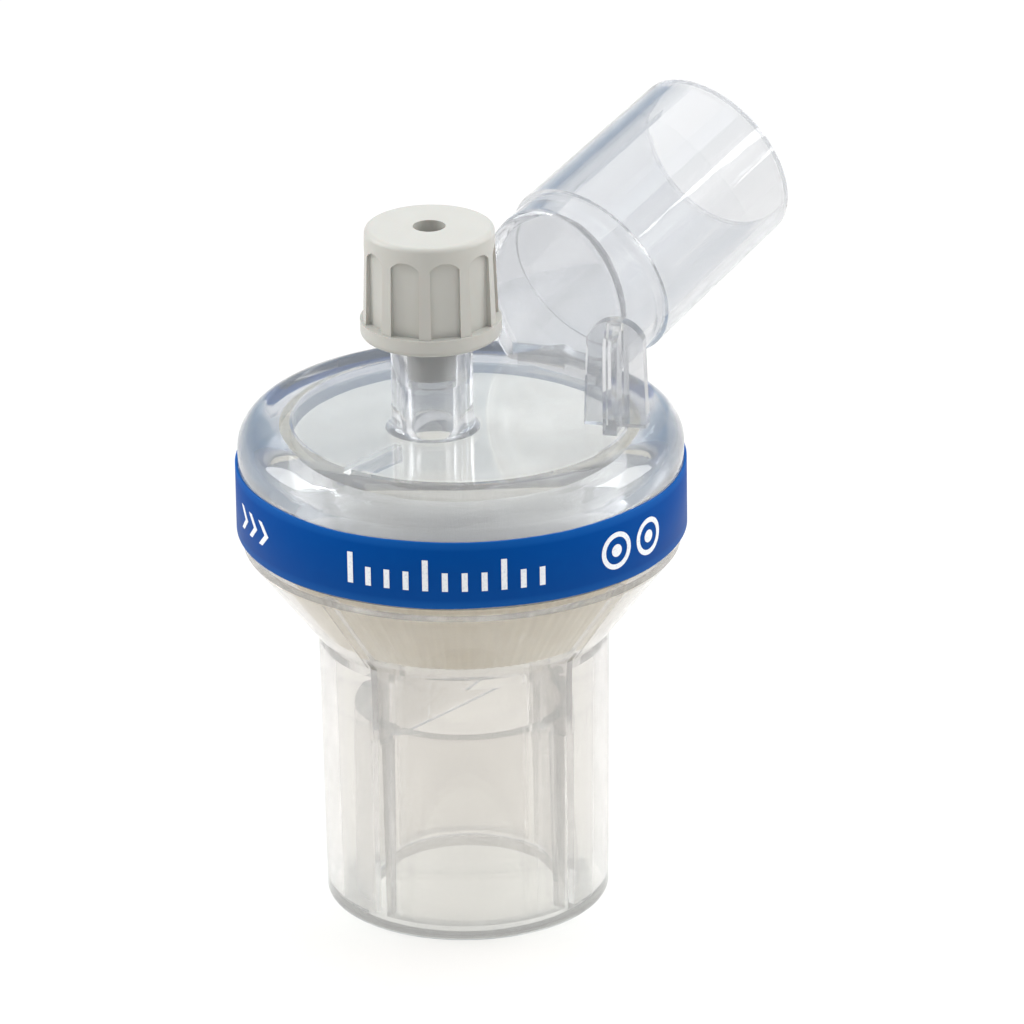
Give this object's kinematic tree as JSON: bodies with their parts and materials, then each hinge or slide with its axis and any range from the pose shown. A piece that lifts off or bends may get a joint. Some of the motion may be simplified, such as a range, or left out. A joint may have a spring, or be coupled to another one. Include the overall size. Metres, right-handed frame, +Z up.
{
  "type": "breathing circuit filter",
  "caption": "Clear round heat and moisture exchanging filter with a coaxial lower port, an angled upper tube, a blue label band and a capped sampling port.",
  "frame": {"origin": "centre of the lower port's end face, on the filter's axis", "axes": "+Z up the filter's axis, +X the way the angled tube points, seen from above"},
  "size_m": [0.0504, 0.0348, 0.0585],
  "materials": {
    "clear_styrene_lower": "clear injection-moulded, polished",
    "clear_styrene_upper": "clear injection-moulded, polished",
    "treated_paper": "corrugated paper wound in a roll",
    "white_fleece": "non-woven fleece",
    "blue_label_film": "printed film, satin",
    "grey_polyethylene": "moulded, satin"
  },
  "bodies": {
    "filter": {"lower_housing": "clear_styrene_lower", "upper_housing": "clear_styrene_upper", "exchanger_core": "treated_paper", "filter_pad": "white_fleece", "label_band": "blue_label_film"},
    "cap": {"port_cap": "grey_polyethylene"}
  },
  "joints": [
    {"name": "cap_lift", "type": "slide", "parent": "filter", "child": "cap", "axis": [0, 0, 1], "range_m": [0, 0.015]}
  ]
}
